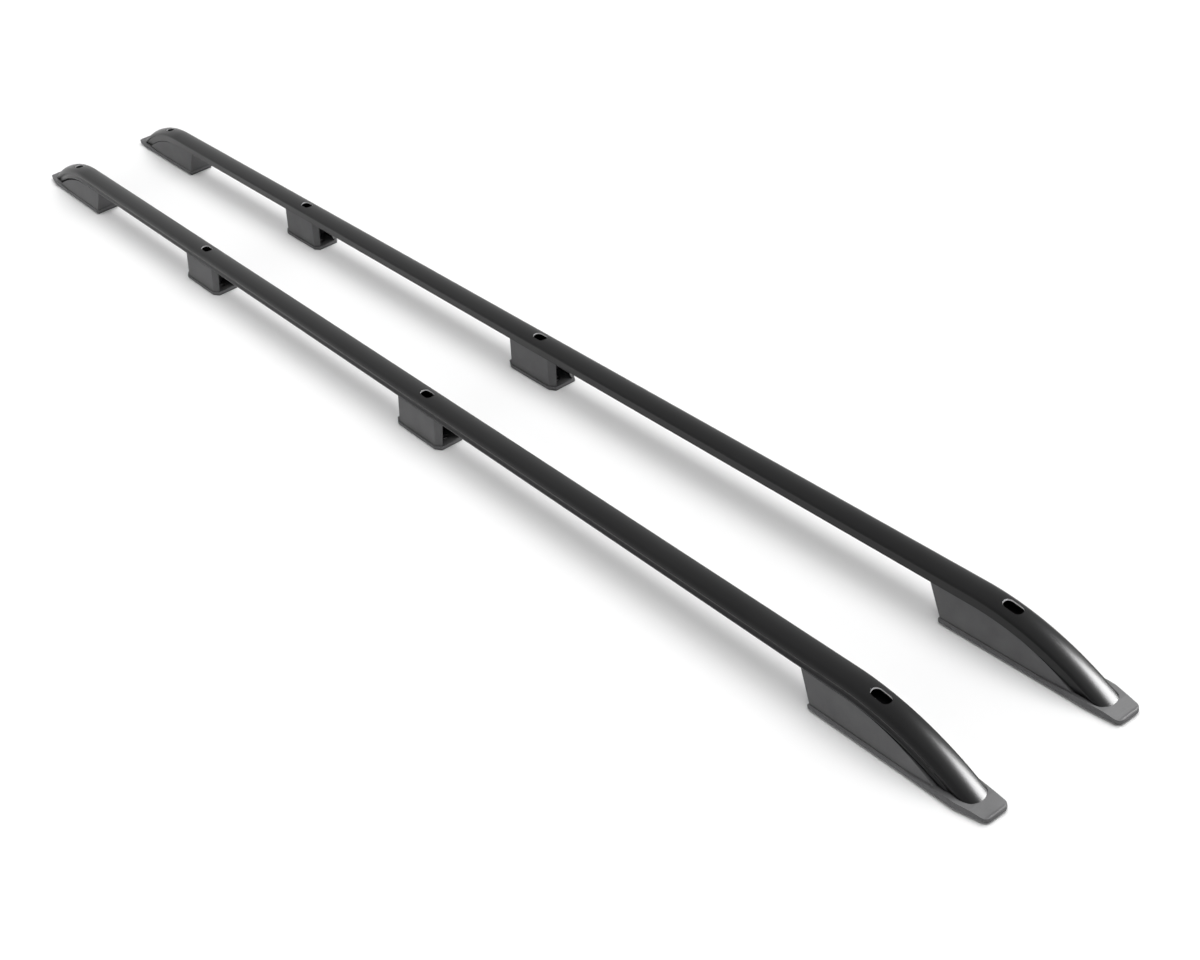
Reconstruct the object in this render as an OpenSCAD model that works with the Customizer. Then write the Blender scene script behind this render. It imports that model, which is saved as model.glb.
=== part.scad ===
// Pair of roof side rails for a van.
// Each rail is a hollow extruded tube that bends down at both ends into a moulded
// end foot, with two moulded mid feet between them. Every foot stands on a rubber
// pad, holds a steel sleeve for its roof bolt, and is screwed to the tube from below.
// The bolts are reached through the slots in the crown of the tube.
// Frame: X along the rails with +X to the front, +Y to the left rail, +Z up.
// The origin is on the roof plane, in the middle of the pair.
// The right rail is modelled with its outer side towards -Y, and the left one is its
// mirror image.

/* [Rail pair] */
// Length of each rail from toe tip to toe tip
rail_len = 2500; // [2000:10:3200]
// Distance between the centrelines of the two rails
rail_spacing = 194; // [100:1:1600]
// Height of the crown of the tube above the roof
crown_h = 68; // [64:0.5:76]

/* [Tube profile] */
// Width of the tube between the sides of the crown
tube_w = 32; // [31:0.5:36]
// Height of the tube from the outer lip to the crown
tube_h = 23; // [22:0.5:26]
// Thickness of the wall
tube_wall = 2; // [1.6:0.1:2.4]
// Radius of the crown
crown_r = 30; // [26:1:40]
// Radius between the crown and the outer side
outer_corner_r = 9; // [7:0.5:10]
// Radius between the crown and the inner side
inner_corner_r = 5; // [4:0.5:6]
// Radius of the rolled lip along the outer side
lip_r = 4.2; // [3.6:0.1:4.6]
// How far the lip stands out past the outer side
lip_proud = 0.6; // [0.2:0.1:1]
// Depth of the waist between the crown and the lip
waist_d = 1; // [0.4:0.1:1.4]
// How far the flat inner side sits back from the crown
inner_step = 1; // [0.6:0.1:1.6]
// Width and depth of the groove above the flat inner side
groove = 0.8; // [0.5:0.1:1]
// Height of the bottom edge of the inner side above the lip
inner_edge_v = 2.5; // [1.5:0.1:3.5]
// Height of the underside of the floor above the lip
floor_v = 5; // [4.5:0.1:6]
// Thickness of the inner side below the floor
inner_skirt_t = 2.4; // [1.8:0.1:3]
// Width of the rolled lip at its bottom
lip_foot_w = 7; // [6.6:0.1:7.6]

/* [Bend] */
// Distance from the toe tip back to where the bend starts
bend_from_tip = 208; // [204:1:212]
// Radius of the bend, measured at the crown
bend_r = 330; // [324:1:336]

/* [Access slots] */
// Length of the slots in the crown
slot_l = 26; // [20:1:34]
// Width of the slots in the crown
slot_w = 13.6; // [13.2:0.1:15]

/* [End foot] */
// Length of the end foot along the roof
foot_len = 255; // [245:1:275]
// Outer half width of the end foot
foot_out = 24.5; // [23.5:0.5:28]
// Inner half width of the end foot
foot_in = 22; // [21:0.5:26]
// Half width of the outer side where the toe starts to round
shoulder_out = 23.5; // [22:0.5:25]
// Half width of the inner side where the toe starts to round
shoulder_in = 20.5; // [19.5:0.5:23]
// Radius of the toe's shoulders
shoulder_r = 14; // [10:1:18]
// Distance of the outer shoulder behind the corners of the toe
shoulder_back_out = 18; // [14:1:24]
// Distance of the inner shoulder behind the corners of the toe
shoulder_back_in = 22; // [18:1:28]
// Radius of the corners at the open end
foot_corner_r = 3; // [2:0.5:4]
// Radius of the corners of the toe
toe_r = 8; // [5:0.5:10]
// Half width of the flat end of the toe
toe_flat = 9.5; // [7:0.5:11]
// Height of the flat end of the toe
toe_end_h = 7.5; // [6.5:0.5:9]
// Height of the toe just in front of the tube
toe_top_h = 10; // [9:0.5:12]
// Distance from the toe tip back to the front of the tube's crown
toe_peak_back = 21; // [20:1:24]
// Distance from there back to the foot of the steeper rise
toe_ramp_l = 26; // [22:1:30]
// Height of that foot above the flange
toe_ramp_h = 3; // [1.5:0.5:3]
// Distance from the toe tip back to where the toe starts to rise
toe_rise_back = 105; // [90:1:120]
// Length of the solid end of the foot
toe_solid_l = 80; // [70:1:90]
// Thickness of the rounded flange round the foot
flange_t = 6.5; // [5.5:0.5:7.5]
// Radius of the flange's edges, as a chamfer
flange_edge = 1.6; // [1:0.1:2.4]
// How far the wall stands back from the edge of the flange
wall_inset = 2.5; // [1.5:0.1:4]
// How far the open end leans over towards the middle of the rail
end_rake = 17; // [5:1:25]
// How far the top of the walls stops short of the toe tip
top_short = 60; // [50:1:70]
// Distance from the toe tip back to the roof bolt
end_bolt_from_tip = 158; // [150:1:166]
// Distance from the open end to the first screw
first_screw_x = 16; // [14:1:20]
// Distance between the two screws of an end foot
end_screw_gap = 24; // [20:1:28]
// Distance from the roof bolt to the rib behind it
rib_behind = 32; // [26:1:34]
// Distance from the roof bolt to the first rib in front of it
rib_ahead = 34; // [26:1:40]
// Distance from that rib to the next one
rib_pitch = 28; // [20:1:34]

/* [Mid feet] */
// Position of the front mid foot, forward of the middle of the rail
front_mid_x = 172; // [100:1:400]
// Position of the rear mid foot, behind the middle of the rail
rear_mid_x = 542; // [300:1:700]
// Length of the flat side of a mid foot
mid_flat_l = 97; // [90:1:120]
// Length of the chamfered corners
mid_corner_l = 12; // [8:1:16]
// Depth of the chamfered corners
mid_corner_w = 6.5; // [4:0.5:8]
// Outer half width of the base
mid_out = 24.5; // [23.5:0.5:28]
// Inner half width of the base
mid_in = 22; // [21:0.5:26]
// Thickness of the base plate
base_t = 4; // [3:0.5:5]
// How far the roof bolt stands forward of the middle of the foot
mid_bolt_shift = 18; // [10:1:20]
// Distance between the two screws of a mid foot
mid_screw_gap = 80; // [76:1:84]

/* [Moulded walls] */
// Thickness of the moulded walls
wall_t = 2.6; // [2:0.1:3.2]
// Thickness of the top of a foot between a screw head and the tube
roof_t = 4; // [3:0.5:5]
// Thickness of the ribs
rib_t = 2.2; // [1.6:0.1:3]
// Edge left standing round the open ends of a mid foot
end_lip = 0.5; // [0.3:0.1:1]
// Half width of the outer side at the top of a foot
top_out = 13; // [12:0.5:15]
// Half width of the inner side at the top of a foot
top_in = 12.8; // [12.4:0.1:14]

/* [Pads and fasteners] */
// Thickness of the rubber pads
pad_t = 1.5; // [1:0.1:3]
// How far a pad stands back from the edge of its foot
pad_inset = 1; // [0.5:0.1:2]
// Nominal diameter of the roof bolt
bolt_d = 8; // [6:0.5:8]
// Outer diameter of the steel sleeve
sleeve_d = 13; // [12:0.5:14]
// Wall of the boss round the sleeve
boss_wall = 3; // [2.5:0.1:4]
// Diameter of the screws that hold the tube
screw_d = 4.8; // [4:0.1:5.5]
// Diameter of the screw heads
screw_head_d = 9.5; // [8:0.5:10]
// Height of the screw heads
screw_head_h = 3; // [2:0.5:4]
// How far the screws reach into the tube past its floor
screw_reach = 4; // [2:0.5:6]
// Width of the cross recess in the screw heads
recess_w = 1.2; // [0.8:0.1:1.6]
// Clearance for the driver round a screw head
driver_clear = 1.5; // [1:0.1:2]

/* [Fits] */
// Gap between the tube and the moulded parts round it
tube_gap = 0.3; // [0.2:0.05:0.5]
// Gap line between the lower edges of the tube and the top of the feet's walls
shadow_gap = 0.8; // [0.5:0.1:1.5]
// Clearance of the roof bolt in its holes
bolt_clear = 0.6; // [0.4:0.1:1]
// Clearance round the sleeves and the screws
fit_clear = 0.2; // [0.1:0.05:0.3]
// How far a sleeve stands back from the underside of its pad
sleeve_back = 0.3; // [0.1:0.1:0.8]
// Distance from the toe tip back to the mitred end of the tube
tube_from_tip = 18; // [16:1:22]
// Height of the tube's seat above the base of the toe
tube_seat_h = 1; // [0.5:0.5:2]

/* [Hidden] */
$fn = 48;

// Sides and ends, as factors of mirror images
RIGHT = -1;
LEFT = 1;
FRONT = 1;
REAR = -1;

// Anything longer than what it cuts
far = 400;
// Thickness of the slices that a lofted shape is stretched between
slice = 0.05;
// Number of steps that the top of an end foot's walls is lofted through round the bend
taper_n = 8;
// Angle that the bends are swept through before the ends are cut off
bend_sweep = 50;

// The lip of the tube is level v = 0 of the profile
lip_z = crown_h - tube_h;
tip_x = rail_len / 2;
bend_x = tip_x - bend_from_tip;
bend_z = crown_h - bend_r;
foot_x = tip_x - foot_len;
floor_z = lip_z + floor_v;
base_top = pad_t + base_t;
flange_top = pad_t + flange_t;
// Level at which the flare of the feet's walls is set out, just above the channel
top_z = floor_z + 1;

// Profile of the tube
strip_y = tube_w / 2 - inner_step;
lip_y = tube_w / 2 + lip_proud - lip_r;
lip_inner_y = tube_w / 2 + lip_proud - lip_foot_w;
skirt_inner_y = strip_y - inner_skirt_t;
lip_start_a = 150;
arc_step = 10;
// Angle left out where one arc of the profile runs on into the next
join_a = 2;

// The tube rests on the base of the toe with its mitred end
seat_z = base_top + tube_seat_h;
tube_end_x = tip_x - tube_from_tip;

// The top of a foot fills the channel under the floor of the tube
spigot_out = lip_inner_y - tube_gap;
spigot_in = skirt_inner_y - tube_gap;

// Bolts and screws
bolt_hole_d = bolt_d + bolt_clear;
boss_d = sleeve_d + 2 * (fit_clear + boss_wall);
screw_hole_d = screw_d + fit_clear;
screw_access_d = screw_head_d + driver_clear;
end_bolt_x = tip_x - end_bolt_from_tip;
end_screw_x = [foot_x + first_screw_x, foot_x + first_screw_x + end_screw_gap];
screw_seat_z = floor_z - tube_gap - roof_t;

mid_len = mid_flat_l + 2 * mid_corner_l;

// Points along an arc, a0 and a1 in degrees
function arc(cy, cv, r, a0, a1) =
    let (n = max(2, ceil(abs(a1 - a0) / arc_step)))
    [for (i = [0:n]) let (a = a0 + (a1 - a0) * i / n) [cy + r * cos(a), cv + r * sin(a)]];

// Centre height of a corner of radius r that runs smoothly into the crown
function corner_rise(r) = sqrt(pow(crown_r - r, 2) - pow(tube_w / 2 - r, 2));
function corner_v(r) = tube_h - crown_r + corner_rise(r);
// Angle at which that corner meets the crown
function corner_a(r) = atan2(corner_rise(r), tube_w / 2 - r);

// Half a groove's width is left between the groove and the corner above it
groove_v = corner_v(inner_corner_r) - 1.5 * groove;
waist_top_v = corner_v(outer_corner_r);
waist_bottom_v = lip_r + lip_r * sin(lip_start_a);
waist_n = 6;

// Profile of the tube from outside, grown by g, as points [y, v]
function outline(g) = concat(
    [
        [strip_y + g, inner_edge_v - g],
        [strip_y + g, groove_v],
        [strip_y + g - groove, groove_v],
        [strip_y + g - groove, groove_v + groove],
        [tube_w / 2 + g, groove_v + groove]
    ],
    arc(tube_w / 2 - inner_corner_r, corner_v(inner_corner_r), inner_corner_r + g,
        0, corner_a(inner_corner_r)),
    arc(0, tube_h - crown_r, crown_r + g,
        corner_a(inner_corner_r) + join_a, 180 - join_a - corner_a(outer_corner_r)),
    arc(outer_corner_r - tube_w / 2, corner_v(outer_corner_r), outer_corner_r + g,
        180 - corner_a(outer_corner_r), 180),
    [for (i = [1:waist_n - 1]) [
        waist_d * sin(180 * i / waist_n) - tube_w / 2 - g,
        waist_top_v + (waist_bottom_v - waist_top_v) * i / waist_n
    ]],
    arc(-lip_y, lip_r, lip_r + g, lip_start_a, 270),
    [
        [g - lip_inner_y, -g],
        [g - lip_inner_y, floor_v - g],
        [skirt_inner_y - g, floor_v - g],
        [skirt_inner_y - g, inner_edge_v - g]
    ]
);

// Profile of the hollow inside the tube
hollow = concat(
    [
        [strip_y - tube_wall, floor_v + tube_wall],
        [strip_y - tube_wall, groove_v]
    ],
    arc(tube_w / 2 - inner_corner_r, corner_v(inner_corner_r), inner_corner_r - tube_wall,
        0, corner_a(inner_corner_r)),
    arc(0, tube_h - crown_r, crown_r - tube_wall,
        corner_a(inner_corner_r) + join_a, 180 - join_a - corner_a(outer_corner_r)),
    arc(outer_corner_r - tube_w / 2, corner_v(outer_corner_r), outer_corner_r - tube_wall,
        180 - corner_a(outer_corner_r), 180),
    [[tube_wall + waist_d - tube_w / 2, floor_v + tube_wall]]
);

// Everything below the tube, with the channel that the top of a foot fills
below_tube = [
    [-far / 4, -far / 4],
    [far / 4, -far / 4],
    [far / 4, inner_edge_v - shadow_gap],
    [spigot_in, inner_edge_v - shadow_gap],
    [spigot_in, floor_v - tube_gap],
    [-spigot_out, floor_v - tube_gap],
    [-spigot_out, -shadow_gap],
    [-far / 4, -shadow_gap]
];

// Level of the underside of a foot's top, which closes the walls under the lip
ceiling_v = -shadow_gap - wall_t;

// Everything below the top of a foot
below_roof = [
    [-far / 4, -far / 4],
    [far / 4, -far / 4],
    [far / 4, ceiling_v],
    [-far / 4, ceiling_v]
];

// Straight stretch of a profile, from x = from on
module run(profile, from, len) {
    translate([from, 0, 0])
        rotate([90, 0, 90])
            linear_extrude(len)
                polygon(profile);
}

// Front end of the rail's path: straight from x = from, and round the bend
module front_path(profile, from) {
    translate([0, 0, lip_z])
        run(profile, from, bend_x - from);
    bent_end(profile);
}

// The bend at the front end, down to well below the roof
module bent_end(profile) {
    translate([bend_x, 0, bend_z])
        rotate([-90, 0, 0])
            rotate_extrude(angle = bend_sweep, start = -90, $fn = 180)
                polygon([for (p = profile) [bend_r - tube_h + p[1], p[0]]]);
}

// The same path with both of its ends
module whole_path(profile) {
    front_path(profile, -bend_x);
    mirror([1, 0, 0])
        bent_end(profile);
}

// Stadium shaped cut through the crown, which leaves the floor whole
module access_slot(x) {
    reach = (slot_l - slot_w) / 2;
    translate([x, 0, lip_z + tube_h / 2])
        linear_extrude(far)
            polygon(concat(
                arc(reach, 0, slot_w / 2, -90, 90),
                arc(-reach, 0, slot_w / 2, 90, 270)
            ));
}

// Where the bolts and screws are along the rail
bolt_xs = [
    end_bolt_x,
    front_mid_x + mid_bolt_shift,
    mid_bolt_shift - rear_mid_x,
    -end_bolt_x
];
screw_xs = [
    end_screw_x[0],
    end_screw_x[1],
    front_mid_x - mid_screw_gap / 2,
    front_mid_x + mid_screw_gap / 2,
    -rear_mid_x - mid_screw_gap / 2,
    -rear_mid_x + mid_screw_gap / 2,
    -end_screw_x[0],
    -end_screw_x[1]
];

// Hollow tube, bent down and mitred at both ends
module rail_tube() {
    difference() {
        whole_path(outline(0));
        whole_path(hollow);
        for (x = bolt_xs)
            access_slot(x);
        for (x = bolt_xs)
            translate([x, 0, 0])
                cylinder(d = bolt_hole_d, h = lip_z + floor_v + 2 * tube_wall);
        for (x = screw_xs)
            translate([x, 0, 0])
                cylinder(d = screw_hole_d, h = lip_z + floor_v + 2 * tube_wall);
        for (end = [FRONT, REAR])
            translate([end * (tube_end_x + far / 2), 0, 0])
                cube([far, far, far], center = true);
        translate([0, 0, seat_z - far / 2])
            cube([2 * rail_len, far, far], center = true);
    }
}

// Upright posts whose hull is the outline of the end foot, seen from above
module foot_posts(grow, h) {
    toe_x = tip_x - toe_r;
    posts = [
        [foot_x + foot_corner_r, foot_corner_r - foot_out, foot_corner_r],
        [foot_x + foot_corner_r, foot_in - foot_corner_r, foot_corner_r],
        [toe_x - shoulder_r - shoulder_back_out, shoulder_r - shoulder_out, shoulder_r],
        [toe_x - shoulder_r - shoulder_back_in, shoulder_in - shoulder_r, shoulder_r],
        [toe_x, -toe_flat, toe_r],
        [toe_x, toe_flat, toe_r]
    ];
    for (p = posts)
        translate([p[0], p[1], 0])
            cylinder(r = p[2] + grow, h = h, $fn = 32);
}

// Rounded flange that the end foot stands on
module foot_flange() {
    hull() {
        translate([0, 0, pad_t])
            foot_posts(-flange_edge, flange_t);
        translate([0, 0, pad_t + flange_edge])
            foot_posts(0, flange_t - 2 * flange_edge);
    }
}

// Wedge of the toe, which the end of the tube plunges into
module toe() {
    toe_peak = tip_x - toe_peak_back;
    intersection() {
        hull() {
            translate([0, 0, pad_t])
                foot_posts(-flange_edge, toe_top_h);
            translate([0, 0, pad_t + flange_edge])
                foot_posts(0, toe_end_h - pad_t - flange_edge);
            translate([0, 0, toe_end_h])
                foot_posts(-flange_edge / 3, slice);
        }
        rotate([90, 0, 0])
            translate([0, 0, -far / 2])
                linear_extrude(far)
                    polygon([
                        [tip_x - toe_rise_back, pad_t],
                        [tip_x, pad_t],
                        [tip_x, toe_end_h],
                        [toe_peak, toe_top_h],
                        [toe_peak - toe_ramp_l, flange_top + toe_ramp_h],
                        [tip_x - toe_rise_back, flange_top - slice]
                    ]);
    }
}

// Shape of the end foot's flared walls, stood back by inset, which follow the bend
module foot_taper(inset, bottom, open_end) {
    top_w = top_out + top_in - 2 * inset;
    top_r = top_z - bend_z;
    last_a = asin((tip_x - top_short - bend_x) / top_r);
    hull() {
        translate([-open_end, 0, bottom])
            foot_posts(-wall_inset - inset, slice);
        translate([foot_x - end_rake - open_end, inset - top_out, top_z])
            cube([slice, top_w, slice]);
        for (i = [0:taper_n])
            translate([
                bend_x + top_r * sin(last_a * i / taper_n),
                inset - top_out,
                bend_z + top_r * cos(last_a * i / taper_n)
            ])
                cube([slice, top_w, slice]);
    }
}

// Ribs and bolt boss inside the end foot
module foot_stiffeners() {
    rib_xs = [
        end_bolt_x - rib_behind,
        end_bolt_x + rib_ahead,
        end_bolt_x + rib_ahead + rib_pitch
    ];
    translate([end_bolt_x, 0, 0])
        cylinder(d = boss_d, h = far);
    for (x = rib_xs)
        translate([x - rib_t / 2, -far / 2, 0])
            cube([rib_t, far, far]);
    translate([end_bolt_x - rib_behind, -rib_t / 2, 0])
        cube([far, rib_t, far]);
}

// Space inside the end foot, open towards the middle of the rail
module foot_hollow() {
    difference() {
        intersection() {
            foot_taper(wall_t, base_top, 2 * wall_t);
            front_path(below_roof, foot_x - far / 4);
            translate([foot_x - far / 2, -far / 2, 0])
                cube([far / 2 + foot_len - toe_solid_l, far, far]);
        }
        foot_stiffeners();
    }
}

// Moulded end foot, front end of the right rail
module end_foot() {
    difference() {
        union() {
            foot_flange();
            toe();
            intersection() {
                foot_taper(0, base_top, 0);
                front_path(below_tube, foot_x - far / 4);
            }
        }
        foot_hollow();
        intersection() {
            front_path(outline(tube_gap), foot_x - far / 4);
            translate([foot_x - far, -far / 2, seat_z])
                cube([far + tube_end_x + tube_gap - foot_x, far, far]);
        }
        translate([end_bolt_x, 0, 0])
            cylinder(d = sleeve_d + 2 * fit_clear, h = far);
        for (x = end_screw_x)
            screw_holes(x);
    }
}

// Shank hole through the top of a foot, and the driver's way in through its base
module screw_holes(x) {
    translate([x, 0, 0])
        cylinder(d = screw_hole_d, h = far);
    translate([x, 0, 0])
        cylinder(d = screw_access_d, h = screw_seat_z);
}

// Outline of a mid foot from above, stood back by inset
module mid_plan(inset, out, in, flat_l, len) {
    polygon([
        [-flat_l / 2, inset - out],
        [flat_l / 2, inset - out],
        [len / 2 - inset, mid_corner_w - out],
        [len / 2 - inset, in - mid_corner_w],
        [flat_l / 2, in - inset],
        [-flat_l / 2, in - inset],
        [inset - len / 2, in - mid_corner_w],
        [inset - len / 2, mid_corner_w - out]
    ]);
}

// Flared block of a mid foot, stood back by inset
module mid_taper(inset, bottom) {
    hull() {
        translate([0, 0, bottom])
            linear_extrude(slice)
                mid_plan(inset, mid_out - wall_inset, mid_in - wall_inset,
                    mid_flat_l, mid_len - 2 * wall_inset);
        translate([0, 0, top_z])
            linear_extrude(slice)
                mid_plan(inset, top_out, top_in, mid_flat_l, mid_len - 2 * wall_inset);
    }
}

// Opening through both ends of a mid foot
module mid_end_opening() {
    side = mid_corner_w + wall_inset + end_lip;
    top_side = mid_corner_w + end_lip;
    translate([-far / 2, 0, 0])
        rotate([90, 0, 90])
            linear_extrude(far)
                polygon([
                    [side - mid_out, base_top],
                    [mid_in - side, base_top],
                    [top_in - top_side, lip_z + ceiling_v],
                    [top_side - top_out, lip_z + ceiling_v]
                ]);
}

// Ribs and bolt boss inside a mid foot
module mid_stiffeners() {
    translate([mid_bolt_shift, 0, 0])
        cylinder(d = boss_d, h = far);
    for (x = [mid_bolt_shift - boss_d, mid_bolt_shift])
        translate([x - rib_t / 2, -far / 2, 0])
            cube([rib_t, far, far]);
    translate([mid_bolt_shift - boss_d, -rib_t / 2, 0])
        cube([boss_d, rib_t, far]);
}

// Moulded mid foot of the right rail, centred on its own flat side
module mid_foot() {
    difference() {
        union() {
            translate([0, 0, pad_t])
                linear_extrude(base_t)
                    mid_plan(0, mid_out, mid_in, mid_flat_l, mid_len);
            intersection() {
                mid_taper(0, base_top - base_t / 4);
                translate([0, 0, lip_z])
                    run(below_tube, -far / 2, far);
            }
        }
        difference() {
            union() {
                intersection() {
                    mid_taper(wall_t, base_top);
                    translate([-far / 2, -far / 2, 0])
                        cube([far, far, lip_z + ceiling_v]);
                }
                mid_end_opening();
            }
            mid_stiffeners();
        }
        translate([mid_bolt_shift, 0, 0])
            cylinder(d = sleeve_d + 2 * fit_clear, h = far);
        for (end = [FRONT, REAR])
            screw_holes(end * mid_screw_gap / 2);
    }
}

// Rubber pad under an end foot
module end_pad() {
    difference() {
        hull()
            foot_posts(-flange_edge - pad_inset, pad_t);
        translate([end_bolt_x, 0, -1])
            cylinder(d = sleeve_d + 2 * fit_clear, h = far);
        for (x = end_screw_x)
            translate([x, 0, -1])
                cylinder(d = screw_access_d, h = far);
    }
}

// Rubber pad under a mid foot
module mid_pad() {
    difference() {
        linear_extrude(pad_t)
            mid_plan(pad_inset, mid_out, mid_in, mid_flat_l, mid_len);
        translate([mid_bolt_shift, 0, -1])
            cylinder(d = sleeve_d + 2 * fit_clear, h = far);
        for (end = [FRONT, REAR])
            translate([end * mid_screw_gap / 2, 0, -1])
                cylinder(d = screw_access_d, h = far);
    }
}

// Steel sleeve that carries the clamp load of a roof bolt
module sleeve() {
    translate([0, 0, sleeve_back])
        difference() {
            cylinder(d = sleeve_d, h = floor_z - sleeve_back);
            translate([0, 0, -1])
                cylinder(d = bolt_hole_d, h = far);
        }
}

// Sleeve of an end foot, cut to the slope of the tube's floor
module end_sleeve() {
    intersection() {
        translate([end_bolt_x, 0, 0])
            sleeve();
        front_path(below_tube, foot_x);
    }
}

// Pan head screw with a cross recess, driven up through the top of a foot
module screw(x) {
    recess_l = screw_head_d / 2;
    translate([x, 0, 0])
        difference() {
            union() {
                translate([0, 0, screw_seat_z - screw_head_h])
                    cylinder(d = screw_head_d, h = screw_head_h);
                translate([0, 0, screw_seat_z - slice])
                    cylinder(d = screw_d, h = roof_t + tube_gap + tube_wall + screw_reach - screw_d / 2);
                translate([0, 0, floor_z + tube_wall + screw_reach - screw_d / 2 - slice])
                    cylinder(d1 = screw_d, d2 = 1, h = screw_d / 2);
            }
            for (turn = [0, 90])
                rotate([0, 0, turn])
                    translate([-recess_l / 2, -recess_w / 2, screw_seat_z - screw_head_h - 1])
                        cube([recess_l, recess_w, 1 + screw_head_h / 2]);
        }
}

// Moves a part made for the right rail, about its own centreline, to one of the rails
module rail_at(side) {
    translate([0, side * rail_spacing / 2, 0])
        mirror(side == LEFT ? [0, 1, 0] : [0, 0, 0])
            children();
}

// Moves a part made for the front end to one end of one rail
module at_end(side, end) {
    rail_at(side)
        mirror(end == REAR ? [1, 0, 0] : [0, 0, 0])
            children();
}

// Moves a part made for a mid foot to its place on one rail
module at_mid(side, x) {
    rail_at(side)
        translate([x, 0, 0])
            children();
}

module tube_part(side) {
    color([0.09, 0.09, 0.1])
        rail_at(side)
            rail_tube();
}

module end_foot_part(side, end) {
    color([0.24, 0.24, 0.25])
        at_end(side, end)
            end_foot();
}

module mid_foot_part(side, x) {
    color([0.24, 0.24, 0.25])
        at_mid(side, x)
            mid_foot();
}

module end_pad_part(side, end) {
    color([0.05, 0.05, 0.05])
        at_end(side, end)
            end_pad();
}

module mid_pad_part(side, x) {
    color([0.05, 0.05, 0.05])
        at_mid(side, x)
            mid_pad();
}

module end_sleeve_part(side, end) {
    color([0.7, 0.71, 0.72])
        at_end(side, end)
            end_sleeve();
}

module mid_sleeve_part(side, x) {
    color([0.7, 0.71, 0.72])
        at_mid(side, x + mid_bolt_shift)
            sleeve();
}

module end_screws_part(side, end) {
    color([0.7, 0.71, 0.72])
        at_end(side, end)
            for (x = end_screw_x)
                screw(x);
}

module mid_screws_part(side, x) {
    color([0.7, 0.71, 0.72])
        at_mid(side, x)
            for (end = [FRONT, REAR])
                screw(end * mid_screw_gap / 2);
}

tube_part(RIGHT);  // right_rail_tube
end_foot_part(RIGHT, FRONT);  // right_front_foot
end_foot_part(RIGHT, REAR);  // right_rear_foot
mid_foot_part(RIGHT, front_mid_x);  // right_front_mid_foot
mid_foot_part(RIGHT, -rear_mid_x);  // right_rear_mid_foot
end_pad_part(RIGHT, FRONT);  // right_front_pad
end_pad_part(RIGHT, REAR);  // right_rear_pad
mid_pad_part(RIGHT, front_mid_x);  // right_front_mid_pad
mid_pad_part(RIGHT, -rear_mid_x);  // right_rear_mid_pad
end_sleeve_part(RIGHT, FRONT);  // right_front_sleeve
end_sleeve_part(RIGHT, REAR);  // right_rear_sleeve
mid_sleeve_part(RIGHT, front_mid_x);  // right_front_mid_sleeve
mid_sleeve_part(RIGHT, -rear_mid_x);  // right_rear_mid_sleeve
end_screws_part(RIGHT, FRONT);  // right_front_screws
end_screws_part(RIGHT, REAR);  // right_rear_screws
mid_screws_part(RIGHT, front_mid_x);  // right_front_mid_screws
mid_screws_part(RIGHT, -rear_mid_x);  // right_rear_mid_screws
tube_part(LEFT);  // left_rail_tube
end_foot_part(LEFT, FRONT);  // left_front_foot
end_foot_part(LEFT, REAR);  // left_rear_foot
mid_foot_part(LEFT, front_mid_x);  // left_front_mid_foot
mid_foot_part(LEFT, -rear_mid_x);  // left_rear_mid_foot
end_pad_part(LEFT, FRONT);  // left_front_pad
end_pad_part(LEFT, REAR);  // left_rear_pad
mid_pad_part(LEFT, front_mid_x);  // left_front_mid_pad
mid_pad_part(LEFT, -rear_mid_x);  // left_rear_mid_pad
end_sleeve_part(LEFT, FRONT);  // left_front_sleeve
end_sleeve_part(LEFT, REAR);  // left_rear_sleeve
mid_sleeve_part(LEFT, front_mid_x);  // left_front_mid_sleeve
mid_sleeve_part(LEFT, -rear_mid_x);  // left_rear_mid_sleeve
end_screws_part(LEFT, FRONT);  // left_front_screws
end_screws_part(LEFT, REAR);  // left_rear_screws
mid_screws_part(LEFT, front_mid_x);  // left_front_mid_screws
mid_screws_part(LEFT, -rear_mid_x);  // left_rear_mid_screws
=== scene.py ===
"""Looks of the roof side rail pair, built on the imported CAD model."""
import math

import bmesh
import bpy
from mathutils import Matrix, Vector


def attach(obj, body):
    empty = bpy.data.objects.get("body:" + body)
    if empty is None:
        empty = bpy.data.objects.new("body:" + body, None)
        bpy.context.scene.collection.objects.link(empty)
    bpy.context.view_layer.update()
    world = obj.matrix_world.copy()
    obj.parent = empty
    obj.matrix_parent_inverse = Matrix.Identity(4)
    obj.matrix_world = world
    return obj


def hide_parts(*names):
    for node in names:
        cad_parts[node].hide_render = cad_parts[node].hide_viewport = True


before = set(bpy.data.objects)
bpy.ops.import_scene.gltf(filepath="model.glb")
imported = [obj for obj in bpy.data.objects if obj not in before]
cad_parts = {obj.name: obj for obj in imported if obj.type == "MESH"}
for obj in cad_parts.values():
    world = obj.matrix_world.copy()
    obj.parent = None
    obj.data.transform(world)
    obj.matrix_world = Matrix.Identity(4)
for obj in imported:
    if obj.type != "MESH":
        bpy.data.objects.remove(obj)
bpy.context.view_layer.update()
scene = bpy.context.scene

MM = 0.001

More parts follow.
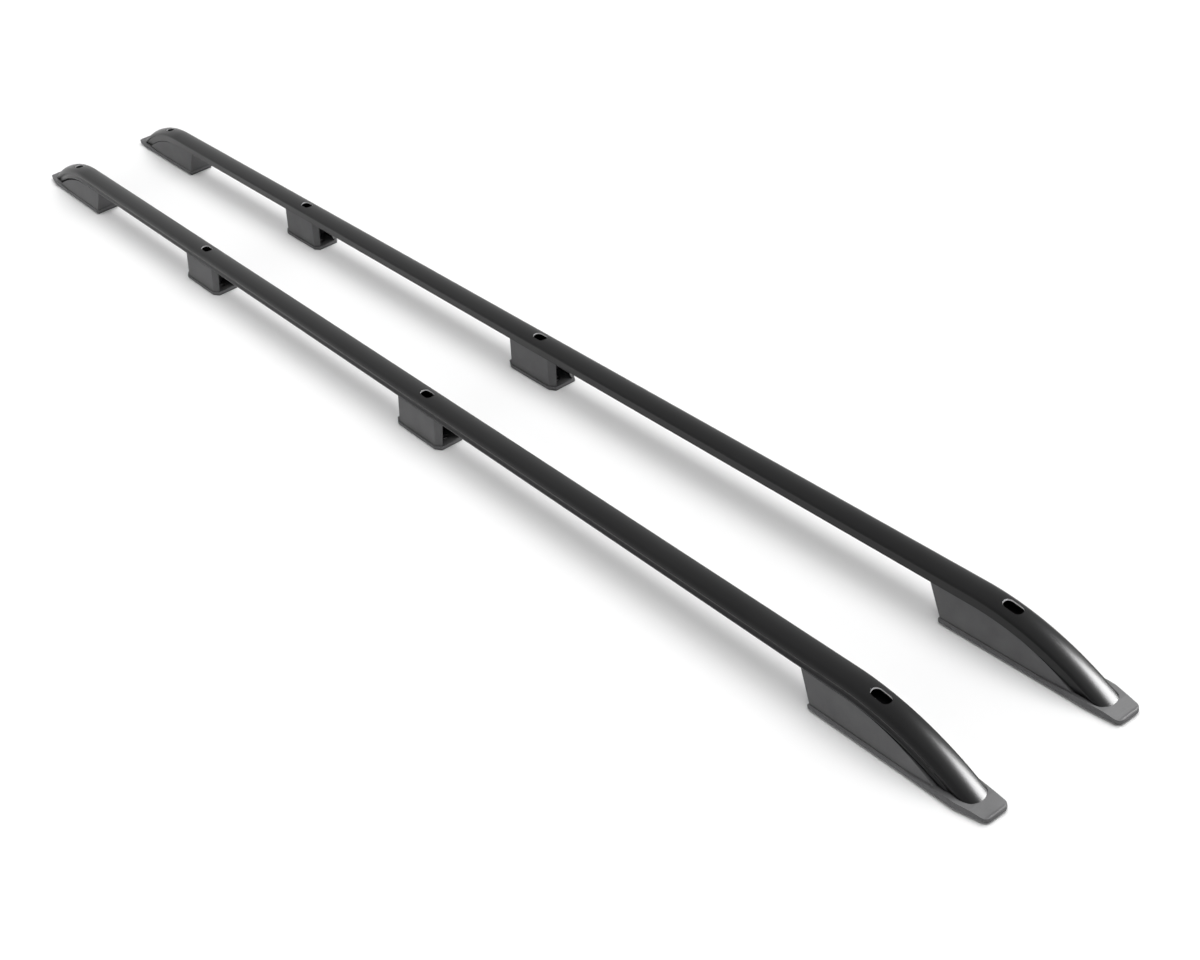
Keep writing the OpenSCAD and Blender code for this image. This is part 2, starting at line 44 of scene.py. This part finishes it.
# Driving sizes in millimetres, as in the part's source
RAIL_LEN, RAIL_SPACING, CROWN_H = 2500.0, 194.0, 68.0
TUBE_W, TUBE_H, TUBE_WALL = 32.0, 23.0, 2.0
CROWN_R, OUTER_CORNER_R, INNER_CORNER_R = 30.0, 9.0, 5.0
LIP_R, LIP_PROUD, LIP_FOOT_W, WAIST_D = 4.2, 0.6, 7.0, 1.0
INNER_STEP, GROOVE, FLOOR_V, INNER_SKIRT_T = 1.0, 0.8, 5.0, 2.4
BEND_FROM_TIP, BEND_R, TUBE_FROM_TIP = 208.0, 330.0, 18.0
SLOT_L, SLOT_W = 26.0, 13.6
FOOT_LEN, FRONT_MID_X, REAR_MID_X = 255.0, 172.0, 542.0
END_BOLT_FROM_TIP, MID_BOLT_SHIFT = 158.0, 18.0
FIRST_SCREW_X, END_SCREW_GAP, MID_SCREW_GAP = 16.0, 24.0, 80.0
PAD_T, BASE_T, TUBE_SEAT_H = 1.5, 4.0, 1.0
BOLT_D, BOLT_CLEAR, SCREW_D, FIT_CLEAR = 8.0, 0.6, 4.8, 0.2

# The inner skirt ends 0.5 mm higher than in the part, so that the joint line above the feet shows
INNER_EDGE_V = 3.0

# Worked-out places: x along the rail, y from its centreline, v up from the tube's lower edge
TIP_X = RAIL_LEN / 2
BEND_X = TIP_X - BEND_FROM_TIP
TUBE_END_X = TIP_X - TUBE_FROM_TIP
END_BOLT_X = TIP_X - END_BOLT_FROM_TIP
END_SCREW_X = TIP_X - FOOT_LEN + FIRST_SCREW_X
BOLT_XS = (END_BOLT_X, FRONT_MID_X + MID_BOLT_SHIFT, -REAR_MID_X + MID_BOLT_SHIFT, -END_BOLT_X)
SCREW_XS = (END_SCREW_X, END_SCREW_X + END_SCREW_GAP,
            FRONT_MID_X - MID_SCREW_GAP / 2, FRONT_MID_X + MID_SCREW_GAP / 2,
            -REAR_MID_X - MID_SCREW_GAP / 2, -REAR_MID_X + MID_SCREW_GAP / 2,
            -END_SCREW_X, -END_SCREW_X - END_SCREW_GAP)
LIP_Z = CROWN_H - TUBE_H
SEAT_Z = PAD_T + BASE_T + TUBE_SEAT_H
STRIP_Y = TUBE_W / 2 - INNER_STEP
SKIRT_INNER_Y = STRIP_Y - INNER_SKIRT_T
LIP_Y = TUBE_W / 2 + LIP_PROUD - LIP_R
LIP_INNER_Y = TUBE_W / 2 + LIP_PROUD - LIP_FOOT_W

# Fineness of the tube's mesh: angles in degrees, lengths in millimetres
CROWN_STEP_A, CORNER_STEP_A, LIP_STEP_A = 1.5, 3.0, 6.0
HOLLOW_CROWN_STEP_A, HOLLOW_INNER_STEP_A, HOLLOW_OUTER_STEP_A = 3.0, 9.0, 6.0
SLOT_STEP_A, HOLE_STEP_A = 7.5, 15.0
JOIN_A, LIP_START_A = 1.0, 150.0
WAIST_STEPS = 16
BEND_STEP_A, TUBE_TURNS, HOLLOW_TURNS = 0.75, 56, 60
STATION_PITCH, STATION_GAP = 130.0, 25.0
SLOT_STATIONS = (-60, -30, -18, 18, 30, 60)

# Reach of the cutters, and the bare rim of the slots, in millimetres
CUT_X, CUT_Y, CUT_LOW_Z, CUT_HIGH_Z = 1500.0, 60.0, -300.0, 200.0
SLOT_OVER, HOLE_START_Z = 20.0, 10.0
RIM_W, RIM_BAND = 0.7, 6.0

# Camera, fitted to points measured in the photograph: metres and degrees
CAMERA_AT = (2.1634, -0.996, 1.315)
CAMERA_AZ, CAMERA_EL, CAMERA_ROLL = 149.9, 33.8, -11.2
LENS, SENSOR_W = 53.8, 36.0

# Surroundings
FLOOR_HALF, FLOOR_T, FLOOR_GREY, FLOOR_GLOW = 40000.0, 20.0, 0.9, 0.03
SKY_LEVELS = ((0.0, 1.0), (0.30, 1.0), (0.60, 0.42), (0.85, 0.05), (1.0, 0.04))
SKY_END_SHARE, SKY_FADE_START, SKY_FADE_END = 0.15, 0.28, 0.65


# Camera
def make_camera():
    data = bpy.data.cameras.new("Camera")
    data.sensor_width = SENSOR_W
    data.lens = LENS
    data.clip_start, data.clip_end = 0.05, 200.0
    cam = bpy.data.objects.new("Camera", data)
    scene.collection.objects.link(cam)
    az, el, roll = map(math.radians, (CAMERA_AZ, CAMERA_EL, CAMERA_ROLL))
    look = Vector((math.cos(el) * math.cos(az), math.cos(el) * math.sin(az), -math.sin(el)))
    right = look.cross(Vector((0, 0, 1))).normalized()
    up = right.cross(look)
    side = right * math.cos(roll) + up * math.sin(roll)
    top = up * math.cos(roll) - right * math.sin(roll)
    turn = Matrix((side, top, -look)).transposed()
    cam.matrix_world = Matrix.Translation(CAMERA_AT) @ turn.to_4x4()
    scene.camera = cam


# Node trees
class Nodes:
    """Short forms for building a node tree."""

    def __init__(self, tree):
        self.tree = tree

    def new(self, kind, **values):
        node = self.tree.nodes.new(kind)
        for key, value in values.items():
            setattr(node, key, value)
        return node

    def link(self, a, b):
        self.tree.links.new(a, b)

    def span(self, fac, low, high, from_low=0.3, from_high=0.7):
        node = self.new("ShaderNodeMapRange")
        node.inputs["From Min"].default_value = from_low
        node.inputs["From Max"].default_value = from_high
        node.inputs["To Min"].default_value = low
        node.inputs["To Max"].default_value = high
        self.link(fac, node.inputs["Value"])
        return node.outputs["Result"]

    def ramp(self, fac, *stops):
        node = self.new("ShaderNodeValToRGB")
        while len(node.color_ramp.elements) < len(stops):
            node.color_ramp.elements.new(0.5)
        for element, (position, color) in zip(node.color_ramp.elements, stops):
            element.position = position
            element.color = (*color, 1.0)
        self.link(fac, node.inputs["Fac"])
        return node.outputs["Color"]

    def scaled(self, value, factor):
        node = self.new("ShaderNodeMath", operation="MULTIPLY")
        self.link(value, node.inputs[0])
        node.inputs[1].default_value = factor
        return node.outputs[0]

    def backdrop_rays(self):
        """1 for camera, glossy and transmission rays, which see the white backdrop, and 0 for the rest."""
        path = self.new("ShaderNodeLightPath")
        total = path.outputs["Is Camera Ray"]
        for kind in ("Is Glossy Ray", "Is Transmission Ray"):
            node = self.new("ShaderNodeMath", operation="ADD", use_clamp=True)
            self.link(total, node.inputs[0])
            self.link(path.outputs[kind], node.inputs[1])
            total = node.outputs[0]
        return total


class Shader(Nodes):
    """A material with one Principled shader and procedural detail."""

    def __init__(self, name):
        self.mat = bpy.data.materials.new(name)
        self.mat.use_nodes = True
        super().__init__(self.mat.node_tree)
        self.bsdf = self.tree.nodes["Principled BSDF"]
        self.coords = self.new("ShaderNodeTexCoord").outputs["Object"]

    def set(self, **values):
        for key, value in values.items():
            self.bsdf.inputs[key.replace("_", " ")].default_value = value

    def drive(self, socket, value):
        self.link(value, self.bsdf.inputs[socket])

    def stretched(self, factors):
        node = self.new("ShaderNodeMapping")
        node.inputs["Scale"].default_value = factors
        self.link(self.coords, node.inputs["Vector"])
        return node.outputs["Vector"]

    def noise(self, scale, detail=4.0, rough=0.55, coords=None):
        node = self.new("ShaderNodeTexNoise")
        node.inputs["Scale"].default_value = scale
        node.inputs["Detail"].default_value = detail
        node.inputs["Roughness"].default_value = rough
        self.link(coords or self.coords, node.inputs["Vector"])
        return node.outputs["Fac"]

    def add(self, a, b, weight):
        """a plus b times weight."""
        node = self.new("ShaderNodeMath", operation="MULTIPLY_ADD")
        self.link(b, node.inputs[0])
        node.inputs[1].default_value = weight
        self.link(a, node.inputs[2])
        return node.outputs[0]

    def paint_gap_shade(self, color, reach, floor, specular):
        """Drives colour and reflection with painted shade: an occlusion node fades both to the share floor
        in gaps and corners within reach.
        """
        node = self.new("ShaderNodeAmbientOcclusion", samples=8)
        node.inputs["Distance"].default_value = reach
        open_share = self.span(node.outputs["AO"], floor, 1.0, 0.2, 0.8)
        scale = self.new("ShaderNodeVectorMath", operation="SCALE")
        self.link(color, scale.inputs[0])
        self.link(open_share, scale.inputs["Scale"])
        self.drive("Base Color", scale.outputs[0])
        self.drive("Specular IOR Level", self.scaled(open_share, specular))

    def bump(self, height, distance, strength):
        node = self.new("ShaderNodeBump")
        node.inputs["Strength"].default_value = strength
        node.inputs["Distance"].default_value = distance
        self.link(height, node.inputs["Height"])
        self.drive("Normal", node.outputs["Normal"])


# Materials: noise scales are per metre, bump distances and reach in metres
def make_coat():
    s = Shader("satin_black_coat")
    s.set(IOR=1.5)
    cloud = s.noise(9.0, detail=3.0)
    fine = s.noise(900.0, detail=3.0, rough=0.6)
    color = s.ramp(cloud, (0.3, (0.004, 0.004, 0.0043)), (0.7, (0.0065, 0.0065, 0.0068)))
    # Painted shade: colour and reflection darken in gaps and corners within 2 mm
    s.paint_gap_shade(color, reach=0.002, floor=0.1, specular=0.17)
    s.drive("Roughness", s.span(s.add(fine, cloud, 0.6), 0.27, 0.35, 0.5, 1.1))
    s.bump(s.add(fine, s.noise(260.0, detail=2.0), 1.2), distance=0.00006, strength=0.35)
    return s.mat


def make_plastic():
    s = Shader("moulded_dark_grey_plastic")
    s.set(IOR=1.48)
    grain = s.noise(1600.0, detail=3.0, rough=0.65)
    cloud = s.noise(24.0)
    tone = s.add(cloud, grain, 0.5)
    color = s.ramp(tone, (0.5, (0.078, 0.078, 0.080)), (1.0, (0.118, 0.118, 0.120)))
    # Painted shade: colour and reflection darken in gaps and corners within 4 mm
    s.paint_gap_shade(color, reach=0.004, floor=0.08, specular=0.3)
    s.drive("Roughness", s.span(tone, 0.55, 0.68, 0.5, 1.0))
    s.bump(s.add(grain, s.noise(500.0, detail=2.0), 0.6), distance=0.00012, strength=0.55)
    return s.mat


def make_rubber():
    s = Shader("black_rubber")
    s.set(IOR=1.5)
    cloud = s.noise(60.0)
    s.drive("Base Color", s.ramp(cloud, (0.3, (0.010, 0.010, 0.010)), (0.7, (0.020, 0.020, 0.020))))
    s.drive("Roughness", s.span(cloud, 0.75, 0.92))
    s.bump(s.noise(2200.0, detail=2.0), distance=0.00008, strength=0.5)
    return s.mat


def make_steel():
    s = Shader("zinc_plated_steel")
    s.set(Metallic=1.0)
    lines = s.noise(300.0, detail=3.0, rough=0.6, coords=s.stretched((1.0, 1.0, 12.0)))
    cloud = s.noise(80.0, detail=3.0)
    s.drive("Base Color", s.ramp(cloud, (0.3, (0.50, 0.50, 0.52)), (0.7, (0.64, 0.64, 0.66))))
    s.drive("Roughness", s.span(lines, 0.24, 0.42))
    s.bump(lines, distance=0.00003, strength=0.4)
    return s.mat


def make_bare():
    s = Shader("bare_cut_aluminium")
    s.set(Metallic=0.2)
    lines = s.noise(500.0, detail=3.0, rough=0.6, coords=s.stretched((1.0, 1.0, 20.0)))
    s.drive("Base Color", s.ramp(lines, (0.3, (0.80, 0.80, 0.81)), (0.7, (0.92, 0.92, 0.93))))
    s.drive("Roughness", s.span(lines, 0.36, 0.52))
    s.bump(lines, distance=0.00002, strength=0.4)
    return s.mat


# Outlines
def arc(cx, cy, r, start, end, step):
    n = max(2, math.ceil(abs(end - start) / step))
    turns = [math.radians(start + (end - start) * i / n) for i in range(n + 1)]
    return [(cx + r * math.cos(a), cy + r * math.sin(a)) for a in turns]


def rectangle(x0, y0, x1, y1):
    return [(x0, y0), (x1, y0), (x1, y1), (x0, y1)]


def stadium(x):
    reach, r = (SLOT_L - SLOT_W) / 2, SLOT_W / 2
    return arc(x + reach, 0, r, -90, 90, SLOT_STEP_A) + arc(x - reach, 0, r, 90, 270, SLOT_STEP_A)


def circle(x, r):
    return arc(x, 0, r, 0, 360 - HOLE_STEP_A, HOLE_STEP_A)


def corner_rise(r):
    """Height of a corner's centre over the crown's centre, so that both arcs run into each other."""
    return math.sqrt((CROWN_R - r) ** 2 - (TUBE_W / 2 - r) ** 2)


def corner_v(r):
    return TUBE_H - CROWN_R + corner_rise(r)


def corner_a(r):
    return math.degrees(math.atan2(corner_rise(r), TUBE_W / 2 - r))


GROOVE_V = corner_v(INNER_CORNER_R) - 1.5 * GROOVE
WAIST_TOP_V = corner_v(OUTER_CORNER_R)
WAIST_BOTTOM_V = LIP_R * 1.5


def over_the_top(wall, inner_step, crown_step, outer_step):
    """Inner corner, crown and outer corner, as far inside the tube's surface as wall says."""
    inner_a, outer_a = corner_a(INNER_CORNER_R), corner_a(OUTER_CORNER_R)
    inner_y, outer_y = TUBE_W / 2 - INNER_CORNER_R, OUTER_CORNER_R - TUBE_W / 2
    return (arc(inner_y, corner_v(INNER_CORNER_R), INNER_CORNER_R - wall, 0, inner_a, inner_step)
            + arc(0, TUBE_H - CROWN_R, CROWN_R - wall, inner_a + JOIN_A, 180 - JOIN_A - outer_a, crown_step)
            + arc(outer_y, corner_v(OUTER_CORNER_R), OUTER_CORNER_R - wall, 180 - outer_a, 180, outer_step))


def outer_profile():
    """The tube's surface as (y, v), from the inner skirt over the crown and waist to the lip's foot."""
    waist = [(WAIST_D * math.sin(math.pi * i / WAIST_STEPS) - TUBE_W / 2,
              WAIST_TOP_V + (WAIST_BOTTOM_V - WAIST_TOP_V) * i / WAIST_STEPS)
             for i in range(1, WAIST_STEPS)]
    return ([(STRIP_Y, INNER_EDGE_V), (STRIP_Y, GROOVE_V), (STRIP_Y - GROOVE, GROOVE_V),
             (STRIP_Y - GROOVE, GROOVE_V + GROOVE), (TUBE_W / 2, GROOVE_V + GROOVE)]
            + over_the_top(0, CORNER_STEP_A, CROWN_STEP_A, CORNER_STEP_A)
            + waist
            + arc(-LIP_Y, LIP_R, LIP_R, LIP_START_A, 270, LIP_STEP_A)
            + [(-LIP_INNER_Y, 0), (-LIP_INNER_Y, FLOOR_V),
               (SKIRT_INNER_Y, FLOOR_V), (SKIRT_INNER_Y, INNER_EDGE_V)])


def inner_profile():
    """The hollow as (y, v), from the inner wall's foot over the top to the outer wall's foot."""
    return ([(STRIP_Y - TUBE_WALL, FLOOR_V + TUBE_WALL), (STRIP_Y - TUBE_WALL, GROOVE_V)]
            + over_the_top(TUBE_WALL, HOLLOW_INNER_STEP_A, HOLLOW_CROWN_STEP_A, HOLLOW_OUTER_STEP_A)
            + [(TUBE_WALL + WAIST_D - TUBE_W / 2, FLOOR_V + TUBE_WALL)])


# Solids
def finished(bm, name, material):
    mesh = bpy.data.meshes.new(name)
    bm.to_mesh(mesh)
    bm.free()
    mesh.materials.append(material)
    obj = bpy.data.objects.new(name, mesh)
    scene.collection.objects.link(obj)
    return obj


def add_sides(bm, low, high):
    count = len(low)
    for i in range(count):
        j = (i + 1) % count
        bm.faces.new((low[i], low[j], high[j], high[i]))


def prisms(name, outlines, z0, z1, material):
    """One object of upright prisms from z0 to z1 over outlines in plan."""
    bm = bmesh.new()
    for outline in outlines:
        low, high = ([bm.verts.new((x * MM, y * MM, z * MM)) for x, y in outline] for z in (z0, z1))
        add_sides(bm, low, high)
        bm.faces.new(low[::-1])
        bm.faces.new(high)
    return finished(bm, name, material)


def stations(most_turns):
    """Places along the rail as (x on the straight, angle of the bend), front end last."""
    marks = {0.0, BEND_X, -BEND_X}
    for x in BOLT_XS[1:3]:
        marks.update(x + d for d in SLOT_STATIONS)
    most = int(BEND_X // STATION_PITCH)
    even = [k * STATION_PITCH for k in range(-most, most + 1)]
    marks.update([x for x in even if all(abs(x - m) > STATION_GAP for m in marks)])
    straight = [(x, 0.0) for x in sorted(marks)]
    turns = [BEND_STEP_A * i for i in range(1, most_turns)]
    return [(-BEND_X, -t) for t in reversed(turns)] + straight + [(BEND_X, t) for t in turns]


def place(y, v, station):
    """A point of the profile, at a station, in metres."""
    x, turn = station
    a = math.radians(turn)
    r = BEND_R - TUBE_H + v
    if turn:
        return Vector((x + r * math.sin(a), y, CROWN_H - BEND_R + r * math.cos(a))) * MM
    return Vector((x, y, LIP_Z + v)) * MM


def sweep(profile, name, material, most_turns):
    bm = bmesh.new()
    rings = [[bm.verts.new(place(y, v, station)) for y, v in profile] for station in stations(most_turns)]
    for a, b in zip(rings, rings[1:]):
        add_sides(bm, a, b)
    bm.faces.new(rings[0][::-1])
    bm.faces.new(rings[-1])
    bmesh.ops.recalc_face_normals(bm, faces=bm.faces)
    return finished(bm, name, material)


def cut(obj, cutter):
    mod = obj.modifiers.new("cut", "BOOLEAN")
    mod.operation = "DIFFERENCE"
    mod.solver = "EXACT"
    mod.material_mode = "TRANSFER"
    mod.object = cutter
    mesh = bpy.data.meshes.new_from_object(obj.evaluated_get(bpy.context.evaluated_depsgraph_get()))
    obj.modifiers.clear()
    obj.data = mesh
    bpy.data.objects.remove(cutter)


# Tubes
def make_tube():
    """One tube about the rail's own centreline, cut to length, hollow, slotted and drilled."""
    tube = sweep(outer_profile(), "tube", COAT, TUBE_TURNS)
    hollow = sweep(inner_profile(), "hollow", COAT, HOLLOW_TURNS)
    slots = prisms("slots", map(stadium, BOLT_XS), LIP_Z + TUBE_H / 2, CROWN_H + SLOT_OVER, BARE)
    rounds = [circle(x, (BOLT_D + BOLT_CLEAR) / 2) for x in BOLT_XS]
    rounds += [circle(x, (SCREW_D + FIT_CLEAR) / 2) for x in SCREW_XS]
    holes = prisms("holes", rounds, HOLE_START_Z, LIP_Z + FLOOR_V + 2 * TUBE_WALL, BARE)
    front = rectangle(TUBE_END_X, -CUT_Y, CUT_X, CUT_Y)
    rear = rectangle(-CUT_X, -CUT_Y, -TUBE_END_X, CUT_Y)
    below = rectangle(-CUT_X, -CUT_Y, CUT_X, CUT_Y)
    ends = [prisms("end", [front], CUT_LOW_Z, CUT_HIGH_Z, COAT),
            prisms("end", [rear], CUT_LOW_Z, CUT_HIGH_Z, COAT),
            prisms("end", [below], CUT_LOW_Z, SEAT_Z, COAT)]
    for cutter in (*ends, hollow, slots, holes):
        cut(tube, cutter)
    break_slot_edges(tube)
    return tube


def break_slot_edges(tube):
    """Bevels the top edge of every access slot to a narrow bare rim."""
    bare = [m.name for m in tube.data.materials].index(BARE.name)
    bm = bmesh.new()
    bm.from_mesh(tube.data)
    bmesh.ops.dissolve_degenerate(bm, edges=bm.edges, dist=0.00001)

    def is_rim(edge):
        if len(edge.link_faces) != 2 or min(v.co.z for v in edge.verts) < (CROWN_H - RIM_BAND) * MM:
            return False
        coated = [f for f in edge.link_faces if f.material_index != bare]
        return len(coated) == 1 and coated[0].normal.z > 0.5

    rim = [e for e in bm.edges if is_rim(e)]
    bmesh.ops.bevel(bm, geom=rim, offset=RIM_W * MM, segments=1, affect="EDGES", material=bare,
                    clamp_overlap=True)
    bm.to_mesh(tube.data)
    bm.free()


def smooth(obj, angle):
    obj.data.shade_smooth()
    obj.data.set_sharp_from_angle(angle=math.radians(angle))


def put(obj, name, side, slot, *stands_for):
    """Moves a piece made about the rail's own centreline to the right or left rail."""
    if side == "left":
        obj.data.transform(Matrix.Diagonal((1, -1, 1, 1)))
        obj.data.flip_normals()
    obj.data.transform(Matrix.Translation((0, (1 if side == "left" else -1) * RAIL_SPACING / 2 * MM, 0)))
    obj.name = name
    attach(obj, "root")
    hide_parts(*stands_for)


def make_tubes():
    right = make_tube()
    smooth(right, 32)
    left = right.copy()
    left.data = right.data.copy()
    scene.collection.objects.link(left)
    for obj, side in ((right, "right"), (left, "left")):
        put(obj, side + "_rail_tube_skin", side, "coated_tube", side + "_rail_tube")


# CAD nodes that stay
def dress():
    """Gives the feet, pads, sleeves and screws their materials, and the feet's edges a small bevel."""
    looks = {"foot": PLASTIC, "pad": RUBBER, "sleeve": STEEL, "screws": STEEL}
    for name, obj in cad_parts.items():
        if obj.hide_render:
            continue
        material = looks[name.split("_")[-1]]
        if not obj.material_slots:
            obj.data.materials.append(material)
        for entry in obj.material_slots:
            entry.material = material
        if name.endswith("foot"):
            bevel = obj.modifiers.new("edges", "BEVEL")
            bevel.width = 0.6 * MM
            bevel.segments = 2
            bevel.limit_method = "ANGLE"
            bevel.angle_limit = math.radians(35)
            bevel.use_clamp_overlap = True


# Floor, world and lamps
def make_floor():
    """A matt white floor, a little brighter for the rays that see the backdrop."""
    s = Shader("white_floor")
    s.set(Base_Color=(FLOOR_GREY, FLOOR_GREY, FLOOR_GREY, 1.0), Roughness=0.9, Specular_IOR_Level=0.0)
    glow = s.new("ShaderNodeEmission")
    s.link(s.scaled(s.backdrop_rays(), FLOOR_GLOW), glow.inputs["Strength"])
    total = s.new("ShaderNodeAddShader")
    s.link(s.bsdf.outputs[0], total.inputs[0])
    s.link(glow.outputs[0], total.inputs[1])
    s.link(total.outputs[0], s.tree.nodes["Material Output"].inputs["Surface"])
    outline = rectangle(-FLOOR_HALF, -FLOOR_HALF, FLOOR_HALF, FLOOR_HALF)
    prisms("floor", [outline], -FLOOR_T, 0, s.mat)


def make_world():
    """White for the rays that see the backdrop, and for the rest a low sky on both sides of the rails."""
    world = bpy.data.worlds.new("World")
    scene.world = world
    world.use_nodes = True
    n = Nodes(world.node_tree)
    n.tree.nodes.clear()
    split = n.new("ShaderNodeSeparateXYZ")
    n.link(n.new("ShaderNodeTexCoord").outputs["Generated"], split.inputs[0])
    aside = n.new("ShaderNodeMath", operation="ABSOLUTE")
    n.link(split.outputs["Y"], aside.inputs[0])
    levels = [(height, (level, level, level)) for height, level in SKY_LEVELS]
    sky = n.new("ShaderNodeBackground")
    n.link(n.ramp(split.outputs["Z"], *levels), sky.inputs["Color"])
    share = n.span(aside.outputs[0], SKY_END_SHARE, 1.0, SKY_FADE_START, SKY_FADE_END)
    n.link(share, sky.inputs["Strength"])
    white = n.new("ShaderNodeBackground")
    white.inputs["Color"].default_value = (1, 1, 1, 1)
    mix = n.new("ShaderNodeMixShader")
    n.link(n.backdrop_rays(), mix.inputs["Fac"])
    n.link(sky.outputs[0], mix.inputs[1])
    n.link(white.outputs[0], mix.inputs[2])
    n.link(mix.outputs[0], n.new("ShaderNodeOutputWorld").inputs["Surface"])


def add_lamp(name, data, location, target):
    lamp = bpy.data.objects.new(name, data)
    scene.collection.objects.link(lamp)
    lamp.location = location
    lamp.rotation_mode = "QUATERNION"
    lamp.rotation_quaternion = (Vector(target) - lamp.location).to_track_quat("-Z", "Y")
    return lamp


def make_key():
    """A wide sun nearly overhead, which casts the soft shadows and isn't reflected."""
    data = bpy.data.lights.new("key", "SUN")
    data.energy = 3.0
    data.angle = math.radians(62)
    lamp = add_lamp("key", data, Vector((0.04, 0.24, 0.96)) * 3, (0, 0, 0))
    lamp.visible_glossy = False


def make_softbox():
    """A panel that is reflected in the near bends and gives no diffuse light."""
    data = bpy.data.lights.new("near_softbox", "AREA")
    data.shape = "RECTANGLE"
    data.size, data.size_y = 0.75, 0.75
    data.energy = 130
    lamp = add_lamp("near_softbox", data, (1.69, 0.86, 0.76), (1.20, 0.0, 0.03))
    lamp.visible_diffuse = False


make_camera()
COAT, PLASTIC, RUBBER = make_coat(), make_plastic(), make_rubber()
STEEL, BARE = make_steel(), make_bare()
make_tubes()
dress()
make_floor()
make_world()
make_key()
make_softbox()

scene.view_settings.view_transform = "Standard"
